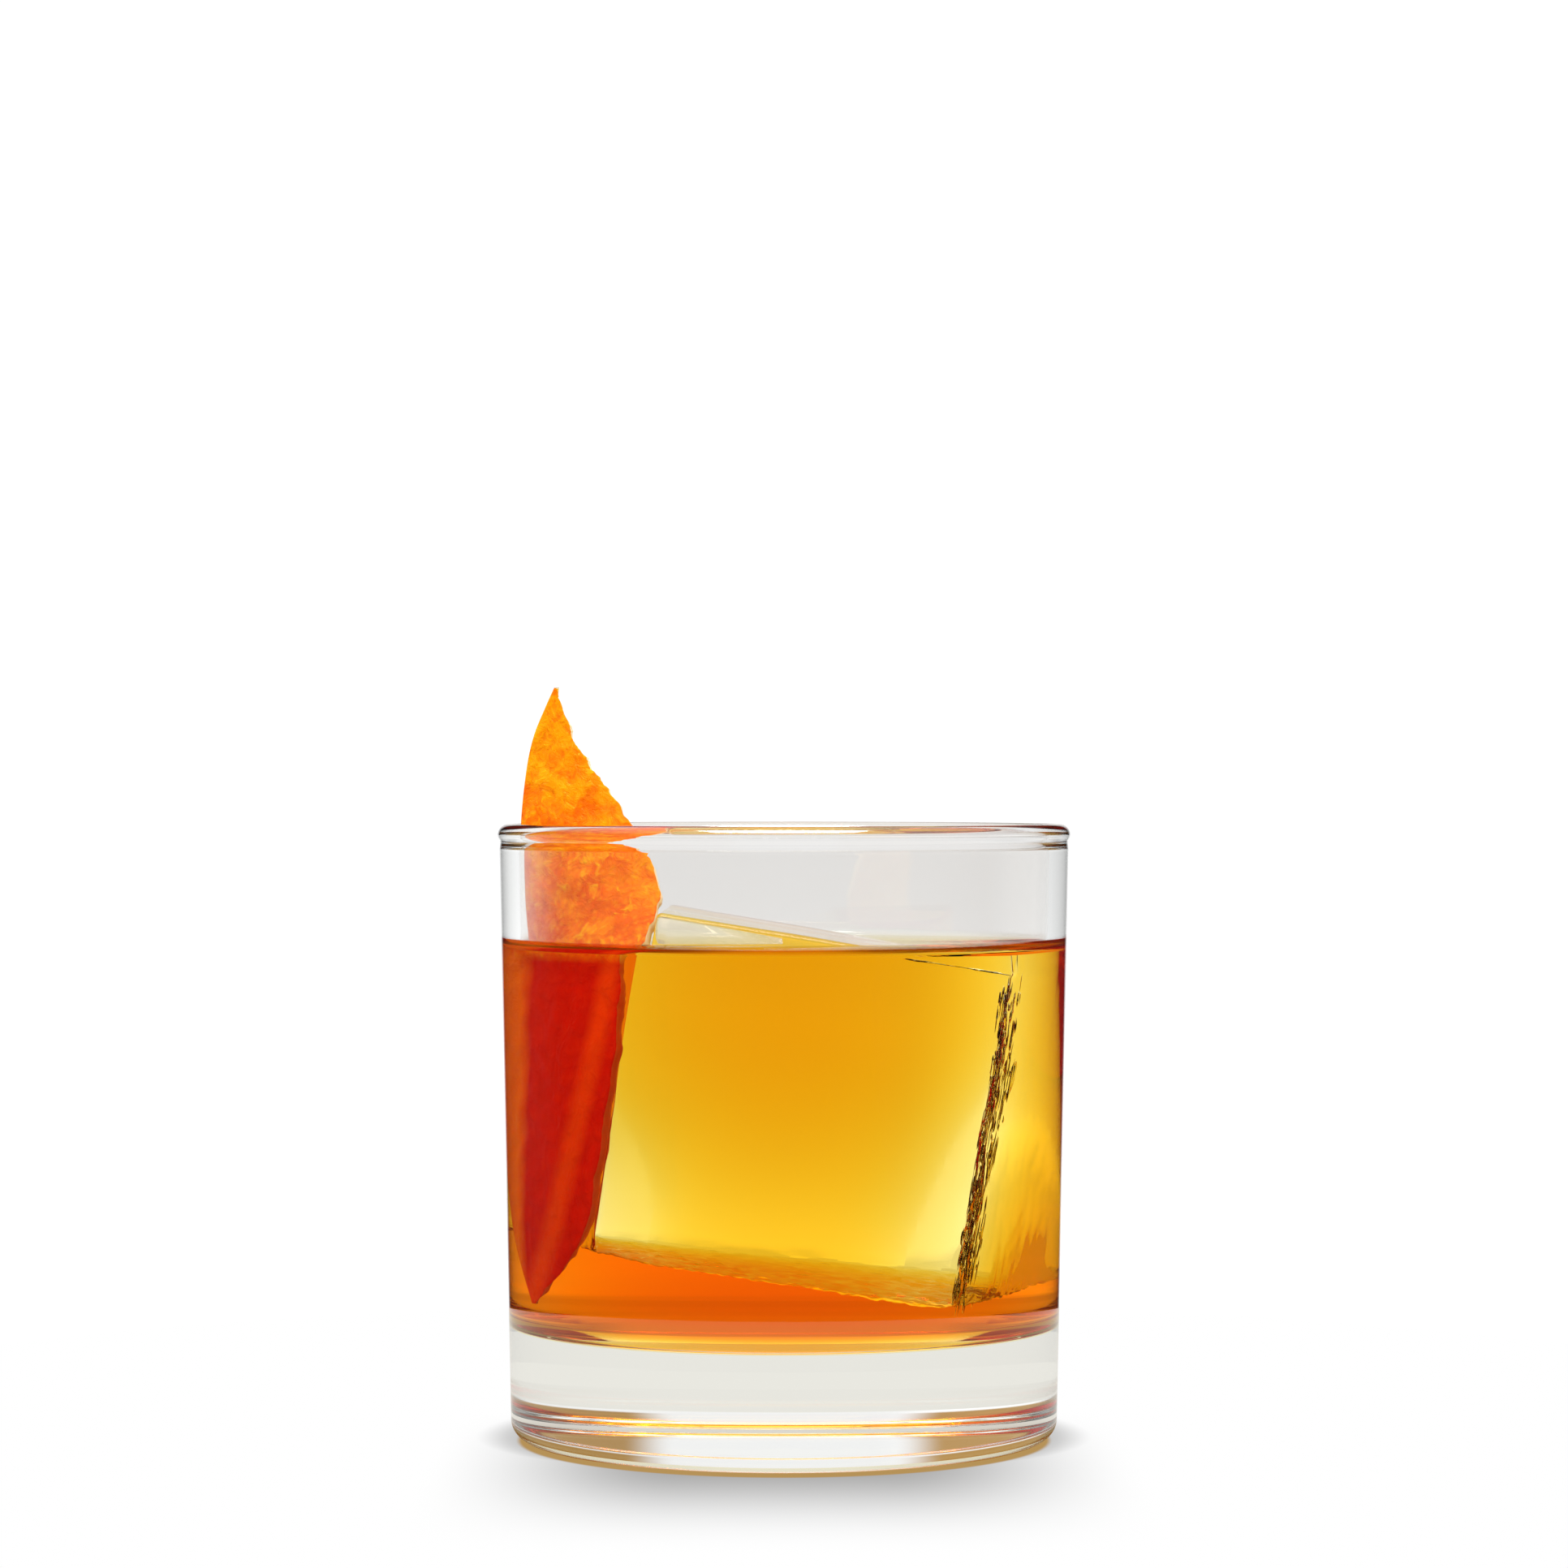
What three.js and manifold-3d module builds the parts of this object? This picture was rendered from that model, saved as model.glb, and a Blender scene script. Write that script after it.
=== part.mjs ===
// A bourbon old fashioned: a heavy-based rocks glass holding an amber drink, one large clear
// ice cube that floats at a tilt, and a long swath of orange peel that stands beside the cube.
// Millimetres, +Z up. The origin is the centre of the glass's foot, and -Y faces the viewer.
import * as THREE from "three";
import { mergeVertices } from "three/addons/utils/BufferGeometryUtils.js";
import Module from "manifold-3d";

const wasm = await Module();
wasm.setup();

// The glass: a straight wall that flares slightly upwards, on a thick solid base.
const GLASS_HEIGHT = 92;
const GLASS_RIM_RADIUS = 42.8;
const GLASS_FOOT_RADIUS = 40.9;
const GLASS_WALL = 2.85;
const GLASS_SEGMENTS = 64;
const FOOT_CORNER_RADIUS = 3.0;
const FOOT_DISH_RADIUS = 32;
const FOOT_DISH_DEPTH = 0.8;
const FLOOR_HEIGHT = 16.8;
const FLOOR_CORNER_RADIUS = 2.6;
const FLOOR_DIP = 0.5;
const LIP_RADIUS = 1.6;
const LIP_BULGE = 0.18;

// The drink, up to its level, with the rim of liquid that climbs the glass.
const DRINK_LEVEL = 73.4;
const MENISCUS_HEIGHT = 1.5;
const MENISCUS_WIDTH = 2.2;

// The ice: one clear block, a little shallower than it is wide, right side down.
const ICE_SIZE = new THREE.Vector3(50.6, 46.0, 50.3);
const ICE_CENTRE = new THREE.Vector3(2.6, 0, 50.65);
const ICE_TILT_DEG = 9.4;
const ICE_EDGE_RADIUS = 1.4;
const ICE_SEGMENTS = 10;
const ICE_ROUGH_DEPTH = 0.7;
const ICE_MELT_DEPTH = 0.25;

// The peel: the two cut edges that its skin runs between, from the lower tip to the upper one.
const PEEL_LEFT_EDGE = [
  [-34.0, -12.0, 21.5],
  [-36.7, -4.5, 33],
  [-38.0, 2.0, 50],
  [-38.3, 1.5, 66],
  [-38.8, -1.5, 75],
  [-39.0, -3.6, 82],
  [-39.5, -1.6, 91],
  [-38.7, -2.2, 99.5],
  [-37.5, -3.4, 105],
  [-35.6, -4.4, 109.6],
  [-34.3, -5.0, 112.4],
];
const PEEL_RIGHT_EDGE = [
  [-33.4, -12.6, 21.5],
  [-27.3, -23.2, 32.5],
  [-24.7, -24.8, 47],
  [-22.3, -24.4, 62],
  [-21.0, -20.5, 73],
  [-18.3, -13.4, 81.5],
  [-22.9, -8.6, 92.3],
  [-27.9, -6.4, 99.2],
  [-30.9, -5.4, 104],
  [-33.2, -5.0, 109.6],
  [-33.8, -5.0, 112.2],
];
const PEEL_THICKNESS = 1.9;
const PEEL_EDGE_THICKNESS = 0.5;
const PEEL_BULGE_SHARE = 0.075;
const PEEL_RUFFLE = 0.35;
const PEEL_STATIONS = 40;
const PEEL_ACROSS = 6;

// The clearance that keeps touching pieces apart.
const GAP = 0.3;

function outerRadius(z) {
  return THREE.MathUtils.lerp(GLASS_FOOT_RADIUS, GLASS_RIM_RADIUS, z / GLASS_HEIGHT);
}

function innerRadius(z) {
  return outerRadius(z) - GLASS_WALL;
}

// Points of a quarter turn or more round a centre, angles in degrees from +X towards +Y.
function arc(centre, radii, fromDeg, toDeg, steps) {
  return Array.from({ length: steps + 1 }, (_, i) => {
    const angle = THREE.MathUtils.degToRad(fromDeg + ((toDeg - fromDeg) * i) / steps);
    return new THREE.Vector2(
      centre.x + radii.x * Math.cos(angle),
      centre.y + radii.y * Math.sin(angle),
    );
  });
}

// A closed solid of revolution about +Z. The profile's points are (radius, height).
function revolve(profile) {
  return new THREE.LatheGeometry(profile, GLASS_SEGMENTS).rotateX(Math.PI / 2);
}

function toSolid(geometry) {
  const bare = new THREE.BufferGeometry();
  bare.setAttribute("position", geometry.getAttribute("position"));
  bare.setIndex(geometry.getIndex());
  const merged = mergeVertices(bare, 1e-3);
  const solid = new wasm.Manifold(
    new wasm.Mesh({
      numProp: 3,
      vertProperties: merged.getAttribute("position").array,
      triVerts: new Uint32Array(merged.getIndex().array),
    }),
  );
  return solid;
}

function toGeometry(solid) {
  const mesh = solid.getMesh();
  const geometry = new THREE.BufferGeometry();
  geometry.setAttribute("position", new THREE.BufferAttribute(mesh.vertProperties, 3));
  geometry.setIndex(new THREE.BufferAttribute(mesh.triVerts, 1));
  geometry.computeVertexNormals();
  return geometry;
}

// The floor and the wall of the glass's inside, out from the axis and up to a height.
// The inset draws the whole surface in, for what fills the glass.
function insideProfile(top, inset) {
  const corner = FLOOR_CORNER_RADIUS;
  const floor = FLOOR_HEIGHT + inset;
  const wallFoot = innerRadius(floor + corner) - inset;
  const cornerCentre = new THREE.Vector2(wallFoot - corner, floor + corner);
  const dip = [0, 0.5].map(
    (share) =>
      new THREE.Vector2(
        share * (wallFoot - corner),
        floor - FLOOR_DIP * (1 - share * share),
      ),
  );
  return [
    ...dip,
    ...arc(cornerCentre, new THREE.Vector2(corner, corner), -90, 0, 5),
    new THREE.Vector2(innerRadius(top) - inset, top),
  ];
}

function glassGeometry() {
  const corner = FOOT_CORNER_RADIUS;
  const lipCentre = new THREE.Vector2(
    GLASS_RIM_RADIUS + LIP_BULGE - LIP_RADIUS,
    GLASS_HEIGHT - LIP_RADIUS,
  );
  const neck = lipCentre.y - 1.4 * LIP_RADIUS;
  const dish = [0, 0.6, 1].map(
    (share) =>
      new THREE.Vector2(
        share * FOOT_DISH_RADIUS,
        FOOT_DISH_DEPTH * (1 - share * share),
      ),
  );
  const cornerCentre = new THREE.Vector2(outerRadius(corner) - corner, corner);
  return revolve([
    ...dish,
    ...arc(cornerCentre, new THREE.Vector2(corner, corner), -90, 0, 4),
    new THREE.Vector2(outerRadius(neck), neck),
    ...arc(lipCentre, new THREE.Vector2(LIP_RADIUS, LIP_RADIUS), -40, 180, 8),
    ...insideProfile(neck, 0).reverse(),
  ]);
}

// A block with rounded edges, melted unevenly, its right side pitted.
// Grown, it is the space that the drink leaves round it.
function iceGeometry(grow) {
  const half = ICE_SIZE.clone().multiplyScalar(0.5).addScalar(grow);
  const radius = ICE_EDGE_RADIUS + grow;
  const block = new THREE.BoxGeometry(
    2 * half.x, 2 * half.y, 2 * half.z, ICE_SEGMENTS, ICE_SEGMENTS, ICE_SEGMENTS,
  );
  const place = block.getAttribute("position");
  const point = new THREE.Vector3();
  const core = new THREE.Vector3();
  const inner = half.clone().subScalar(radius);
  for (let i = 0; i < place.count; i++) {
    point.fromBufferAttribute(place, i);
    core.copy(point).clamp(inner.clone().negate(), inner);
    const outward = point.clone().sub(core).normalize();
    const melt = ICE_MELT_DEPTH * meltWave(core);
    const pits = ICE_ROUGH_DEPTH * pitWave(core) * rightSideShare(core, inner);
    point.copy(core).addScaledVector(outward, radius - melt - pits);
    place.setXYZ(i, point.x, point.y, point.z);
  }
  const tilt = THREE.MathUtils.degToRad(ICE_TILT_DEG);
  return block.rotateY(tilt).translate(ICE_CENTRE.x, ICE_CENTRE.y, ICE_CENTRE.z);
}

// Long shallow waves, from 0 to 1, that melting leaves on every face.
function meltWave(point) {
  const wave = Math.sin(point.x / 7.1 + 0.6) * Math.sin(point.z / 8.3) + Math.sin(point.y / 6.4);
  return 0.5 + 0.25 * wave;
}

// Short ridges, from 0 to 1, that run up and down the pitted side.
function pitWave(point) {
  const ridges = Math.sin(point.y * 1.9 + 0.8 * Math.sin(point.z * 0.7));
  const notches = Math.sin(point.z * 1.3 + 1.1) * Math.sin(point.z * 0.45 + point.y * 0.3);
  return 0.5 + 0.25 * (ridges + notches);
}

// 1 on the right side and its edges, falling to 0 a few millimetres in.
function rightSideShare(point, inner) {
  return THREE.MathUtils.smoothstep(point.x, inner.x - 4.5, inner.x);
}

function curveThrough(points) {
  return new THREE.CatmullRomCurve3(points.map((p) => new THREE.Vector3(...p)));
}

// A strip of skin between its two cut edges: it bulges towards the viewer, is thickest along
// its middle and thins to its edges. Grown, it is the space that the drink leaves round it.
function peelGeometry(grow) {
  const leftEdge = curveThrough(PEEL_LEFT_EDGE);
  const rightEdge = curveThrough(PEEL_RIGHT_EDGE);
  const front = [];
  const back = [];
  for (let i = 0; i <= PEEL_STATIONS; i++) {
    const along = i / PEEL_STATIONS;
    const left = leftEdge.getPoint(along);
    const right = rightEdge.getPoint(along);
    const across = right.clone().sub(left);
    const width = across.length();
    across.normalize();
    const upwards = leftEdge.getTangent(along).add(rightEdge.getTangent(along)).normalize();
    const towardsViewer = across.clone().cross(upwards).normalize();
    const endShift = i === 0 ? -grow : i === PEEL_STATIONS ? grow : 0;
    const ruffle = PEEL_RUFFLE * Math.sin(along * 83) * Math.min(1, width / 6);
    for (let j = 0; j <= PEEL_ACROSS; j++) {
      const share = j / PEEL_ACROSS;
      const crown = 4 * share * (1 - share);
      const reach = (width + 2 * grow) * share - grow + ruffle * share;
      const skin = left
        .clone()
        .addScaledVector(across, reach)
        .addScaledVector(upwards, endShift)
        .addScaledVector(towardsViewer, PEEL_BULGE_SHARE * width * crown);
      const slim = Math.min(1, width / 8);
      const thick = PEEL_EDGE_THICKNESS + (PEEL_THICKNESS - PEEL_EDGE_THICKNESS) * crown * slim;
      front.push(skin.clone().addScaledVector(towardsViewer, grow));
      back.push(skin.clone().addScaledVector(towardsViewer, -thick - grow));
    }
  }
  return closedSheet(front, back, PEEL_STATIONS + 1, PEEL_ACROSS + 1);
}

// Joins two grids of points, rows by columns, into one closed body.
// Both are split along the same diagonals.
function closedSheet(front, back, rows, columns) {
  const points = [...front, ...back];
  const behind = front.length;
  const faces = [];
  const at = (row, column) => row * columns + column;
  const quad = (a, b, c, d) => faces.push(a, b, c, a, c, d);
  for (let row = 0; row + 1 < rows; row++) {
    for (let column = 0; column + 1 < columns; column++) {
      const a = at(row, column);
      const b = at(row, column + 1);
      const c = at(row + 1, column + 1);
      const d = at(row + 1, column);
      quad(a, b, c, d);
      faces.push(a + behind, c + behind, b + behind, a + behind, d + behind, c + behind);
    }
    const [left, leftUp] = [at(row, 0), at(row + 1, 0)];
    const [right, rightUp] = [at(row, columns - 1), at(row + 1, columns - 1)];
    quad(left, leftUp, leftUp + behind, left + behind);
    quad(right, right + behind, rightUp + behind, rightUp);
  }
  for (let column = 0; column + 1 < columns; column++) {
    const [low, lowNext] = [at(0, column), at(0, column + 1)];
    const [high, highNext] = [at(rows - 1, column), at(rows - 1, column + 1)];
    quad(low, low + behind, lowNext + behind, lowNext);
    quad(high, highNext, highNext + behind, high + behind);
  }
  const geometry = new THREE.BufferGeometry();
  geometry.setAttribute(
    "position",
    new THREE.Float32BufferAttribute(points.flatMap((p) => p.toArray()), 3),
  );
  geometry.setIndex(faces);
  geometry.computeVertexNormals();
  return geometry;
}

// The liquid in the glass up to its level, less the spaces of the ice and the peel.
function drinkGeometry() {
  const wallTop = DRINK_LEVEL + MENISCUS_HEIGHT;
  const level = new THREE.Vector2(innerRadius(wallTop) - GAP - MENISCUS_WIDTH, DRINK_LEVEL);
  const filled = revolve([
    ...insideProfile(wallTop, GAP),
    new THREE.Vector2(level.x + MENISCUS_WIDTH / 2, DRINK_LEVEL + MENISCUS_HEIGHT / 4),
    level,
    new THREE.Vector2(0, DRINK_LEVEL),
  ]);
  const liquid = toSolid(filled)
    .subtract(toSolid(iceGeometry(GAP)))
    .subtract(toSolid(peelGeometry(GAP)));
  const bodies = liquid.decompose().sort((a, b) => b.volume() - a.volume());
  return toGeometry(bodies[0]);
}

function piece(name, geometry, colour, roughness) {
  const material = new THREE.MeshStandardMaterial({ color: colour, roughness, metalness: 0 });
  const mesh = new THREE.Mesh(geometry, material);
  mesh.name = name;
  return mesh;
}

const cocktail = new THREE.Group();
cocktail.name = "bourbon_old_fashioned";
cocktail.add(piece("glass", glassGeometry(), 0xe6e9e8, 0.03));
cocktail.add(piece("drink", drinkGeometry(), 0xe07a00, 0.05));
cocktail.add(piece("ice_cube", iceGeometry(0), 0xf4f6f2, 0.08));
cocktail.add(piece("orange_peel", peelGeometry(0), 0xff8a05, 0.5));

export default cocktail;
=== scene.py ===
"""A bourbon old fashioned: a heavy rocks glass, amber drink, one clear ice block and orange peel.

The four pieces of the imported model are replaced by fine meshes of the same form. What touches
inside the glass overlaps by a tenth of a millimetre or so, because liquid wets glass and ice and
no air may show between them. Sizes are in millimetres, and MM turns them to Blender's metres.
"""

from __future__ import annotations

import logging
import math
import random
from dataclasses import dataclass
from enum import Enum
from typing import NamedTuple

import bmesh
import bpy
from mathutils import Matrix, Vector, noise


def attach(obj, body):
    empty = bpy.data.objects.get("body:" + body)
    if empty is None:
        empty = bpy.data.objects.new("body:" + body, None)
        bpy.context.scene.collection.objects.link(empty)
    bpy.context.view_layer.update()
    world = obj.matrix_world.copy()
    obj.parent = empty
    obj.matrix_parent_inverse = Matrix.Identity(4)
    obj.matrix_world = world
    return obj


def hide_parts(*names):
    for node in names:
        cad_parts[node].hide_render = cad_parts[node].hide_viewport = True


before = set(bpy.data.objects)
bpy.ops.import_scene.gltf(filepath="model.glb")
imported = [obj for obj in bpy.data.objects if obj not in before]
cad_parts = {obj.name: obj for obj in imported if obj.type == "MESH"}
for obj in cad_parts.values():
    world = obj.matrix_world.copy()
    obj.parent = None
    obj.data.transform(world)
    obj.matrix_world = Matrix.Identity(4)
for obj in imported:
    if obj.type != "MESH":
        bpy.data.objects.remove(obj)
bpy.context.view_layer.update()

MM = 0.001
LOG = logging.getLogger("old_fashioned")
Colour = tuple[float, float, float, float]
Point = tuple[float, float]
Place = tuple[float, float, float]

GLASS_IOR = 1.52
DRINK_IOR = 1.352
ICE_IOR = 1.31
DRINK_LEVEL = 73.4
PEEL_TIP = 112.0
WHITE = "FFFFFF"
CLEAR_SKIN = {"Roughness": 0.0, "Transmission Weight": 1.0}


class Meets(Enum):
    """What a face of the drink touches; the value is how much more than that the drink bends light.

    Where the drink wets the glass, the glass's own face bends the light, so the drink's does nothing.
    """

    AIR = DRINK_IOR
    ICE = DRINK_IOR / ICE_IOR
    GLASS = 1.0


class Change(NamedTuple):
    """One value's change from before to after, while another goes from start to end."""

    start: float
    end: float
    before: float = 0.0
    after: float = 1.0

    def in_mm(self) -> Change:
        """The same change where start and end are millimetres."""
        return self._replace(start=self.start * MM, end=self.end * MM)


def hex_linear(code: str) -> Colour:
    """Turn an sRGB hex colour to linear light.

    Args:
        code: Six hex digits, such as "FF8C00".

    Returns:
        Red, green, blue and an alpha of 1.
    """
    channels = [int(code[i : i + 2], 16) / 255 for i in (0, 2, 4)]
    linear = [c / 12.92 if c <= 0.04045 else ((c + 0.055) / 1.055) ** 2.4 for c in channels]
    return (*linear, 1.0)


def add_node(tree: bpy.types.NodeTree, kind: str, inputs: dict | tuple = (), **settings) -> bpy.types.Node:
    """Add a node with its settings, and set or link its inputs.

    Args:
        tree: The node tree that gets the node.
        kind: Blender's name for the type of node.
        inputs: Values, sockets, or nodes for their first socket in use. A tuple has them in the
            inputs' own order, and a dict has them by the inputs' names or numbers.
        settings: Attributes of the node itself.

    Returns:
        The new node.
    """
    node = tree.nodes.new(kind)
    for name, value in settings.items():
        setattr(node, name, value)
    for name, value in inputs.items() if isinstance(inputs, dict) else enumerate(inputs):
        if isinstance(value, bpy.types.Node):
            value = next(socket for socket in value.outputs if socket.enabled)
        if isinstance(value, bpy.types.NodeSocket):
            tree.links.new(value, node.inputs[name])
        else:
            node.inputs[name].default_value = value
    return node


def empty_material(name: str) -> bpy.types.Material:
    """Make a material whose node tree is empty.

    Args:
        name: The finish's plain name.

    Returns:
        The material.
    """
    material = bpy.data.materials.new(name)
    material.use_nodes = True
    material.node_tree.nodes.clear()
    return material


def smooth_step(start: float, end: float, value: float) -> float:
    """Ease from 0 at one value to 1 at another."""
    t = min(1.0, max(0.0, (value - start) / (end - start)))
    return t * t * (3 - 2 * t)


def arc(centre: Point, radius: float, start: float, end: float, steps: int) -> list[Point]:
    """Points along a circular arc.

    Args:
        centre: The arc's centre.
        radius: Its radius.
        start: The first angle, in degrees.
        end: The last angle, in degrees.
        steps: How many pieces the arc is cut into.

    Returns:
        The points from first to last.
    """
    angles = [math.radians(start + (end - start) * i / steps) for i in range(steps + 1)]
    return [(centre[0] + radius * math.cos(a), centre[1] + radius * math.sin(a)) for a in angles]


def held_straight(profile: list[Point], margin: float = 0.35) -> list[Point]:
    """Add points near the ends of long stretches, so that smooth shading doesn't bend their light.

    Args:
        profile: Points of radius and height.
        margin: How far from a stretch's end the new point lies.

    Returns:
        The profile with the new points.
    """
    held = profile[:1]
    for start, end in zip(profile, profile[1:]):
        length = math.dist(start, end)
        if length > 4 * margin:
            for share in (margin / length, 1 - margin / length):
                held.append(tuple(a + (b - a) * share for a, b in zip(start, end)))
        held.append(end)
    return held


def revolve(profile: list[Point], steps: int) -> bmesh.types.BMesh:
    """Spin an open profile whose ends lie on the axis into one closed body.

    Args:
        profile: Points of radius and height, in millimetres.
        steps: How many pieces the circle is cut into.

    Returns:
        The body, its faces pointing out.
    """
    body = bmesh.new()
    points = [body.verts.new((radius * MM, 0, height * MM)) for radius, height in held_straight(profile)]
    edges = [body.edges.new(pair) for pair in zip(points, points[1:])]
    bmesh.ops.spin(
        body,
        geom=points + edges,
        axis=(0, 0, 1),
        cent=(0, 0, 0),
        angle=2 * math.pi,
        steps=steps,
        use_merge=True,
    )
    bmesh.ops.remove_doubles(body, verts=body.verts, dist=1e-3 * MM)
    bmesh.ops.recalc_face_normals(body, faces=body.faces)
    return body


def cut_through(body: bmesh.types.BMesh, place: Vector, normal: Vector) -> None:
    """Cut new edges into a body where a plane passes through it, and keep both sides.

    Args:
        body: The body.
        place: A point of the plane.
        normal: The plane's normal.
    """
    bmesh.ops.bisect_plane(
        body,
        geom=body.verts[:] + body.edges[:] + body.faces[:],
        dist=1e-4 * MM,
        plane_co=place,
        plane_no=normal,
    )


def make_piece(name: str, body: bmesh.types.BMesh, crease_deg: float = 40) -> bpy.types.Object:
    """Turn a finished body into an object at the origin, smooth but for its creases.

    Args:
        name: The piece's name.
        body: The body, which is freed.
        crease_deg: The angle between faces from which an edge stays sharp.

    Returns:
        The object.
    """
    mesh = bpy.data.meshes.new(name)
    body.to_mesh(mesh)
    body.free()
    mesh.shade_smooth()
    mesh.set_sharp_from_angle(angle=math.radians(crease_deg))
    piece = bpy.data.objects.new(name, mesh)
    bpy.context.scene.collection.objects.link(piece)
    return piece


def apply_modifiers(piece: bpy.types.Object) -> None:
    """Replace a piece's mesh by the one that its modifiers make.

    Args:
        piece: The piece.
    """
    made = piece.evaluated_get(bpy.context.evaluated_depsgraph_get())
    mesh = bpy.data.meshes.new_from_object(made)
    piece.modifiers.clear()
    old, piece.data = piece.data, mesh
    mesh.name = piece.name
    bpy.data.meshes.remove(old)


def install(piece: bpy.types.Object, node: str, slot: str, *materials: bpy.types.Material) -> None:
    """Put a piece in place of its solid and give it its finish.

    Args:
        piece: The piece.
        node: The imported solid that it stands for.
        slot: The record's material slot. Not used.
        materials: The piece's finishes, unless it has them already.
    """
    for material in materials:
        piece.data.materials.append(material)
    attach(piece, "root")
    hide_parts(node)
    LOG.info("%s stands for %s: %d faces", piece.name, node, len(piece.data.polygons))


@dataclass(frozen=True)
class ClearSolid:
    """A clear solid whose skin is as smooth as a mirror."""

    def material(self, name: str, ior: float, tint: str) -> bpy.types.Material:
        """Make the solid's finish.

        Args:
            name: The finish's plain name.
            ior: How much more than what it meets the solid bends light.
            tint: What its skin does to the light that passes.

        Returns:
            The material.
        """
        material = empty_material(name)
        tree = material.node_tree
        inputs = {**CLEAR_SKIN, "Base Color": hex_linear(tint), "IOR": ior}
        skin = add_node(tree, "ShaderNodeBsdfPrincipled", inputs)
        add_node(tree, "ShaderNodeOutputMaterial", {"Surface": skin})
        return material


@dataclass(frozen=True)
class SodaLimeGlass(ClearSolid):
    """Pressed and fire-polished soda-lime glass: colourless, and bright along its curves.

    Above the drink, the inner side carries a faint film of drink and orange oil.
    """

    tint: str = "FDFEFD"
    film: str = "F7F4F2"


@dataclass(frozen=True)
class ClearIce(ClearSolid):
    """Slowly frozen ice: clear as glass, with a wet skin that melting keeps smooth.

    What stands out of the drink is wet with it. The flakes of air in the ice look dark by their inner
    reflection, and their dark brown tint adds painted shade.
    """

    wetted: str = "FBF3DC"
    clear: str = WHITE
    # Painted shade: the air flakes' dark brown tint.
    flake: str = "4A3218"


@dataclass(frozen=True)
class BourbonLiquid:
    """Bourbon with bitters and sugar: perfectly clear, and amber by what it takes from the light.

    It takes nearly all the blue within a few millimetres and the green within a few centimetres,
    so it reads yellow where it is thin and red-orange where it is deep.
    """

    takes_per_metre: Place = (0.8, 28.0, 190.0)

    def material(self) -> bpy.types.Material:
        """Make the liquid, whose skin bends light by what each of its faces meets.

        Returns:
            The material.
        """
        material = empty_material("bourbon")
        tree = material.node_tree
        bend = add_node(tree, "ShaderNodeAttribute", attribute_name=Meets.__name__).outputs["Fac"]
        inputs = {**CLEAR_SKIN, "Base Color": hex_linear(WHITE), "IOR": bend}
        skin = add_node(tree, "ShaderNodeBsdfPrincipled", inputs)
        density = max(self.takes_per_metre)
        passed = [1 - taken / density for taken in self.takes_per_metre]
        depth = add_node(tree, "ShaderNodeVolumeAbsorption", {"Color": (*passed, 1.0), "Density": density})
        add_node(tree, "ShaderNodeOutputMaterial", {"Surface": skin, "Volume": depth})
        return material


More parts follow.
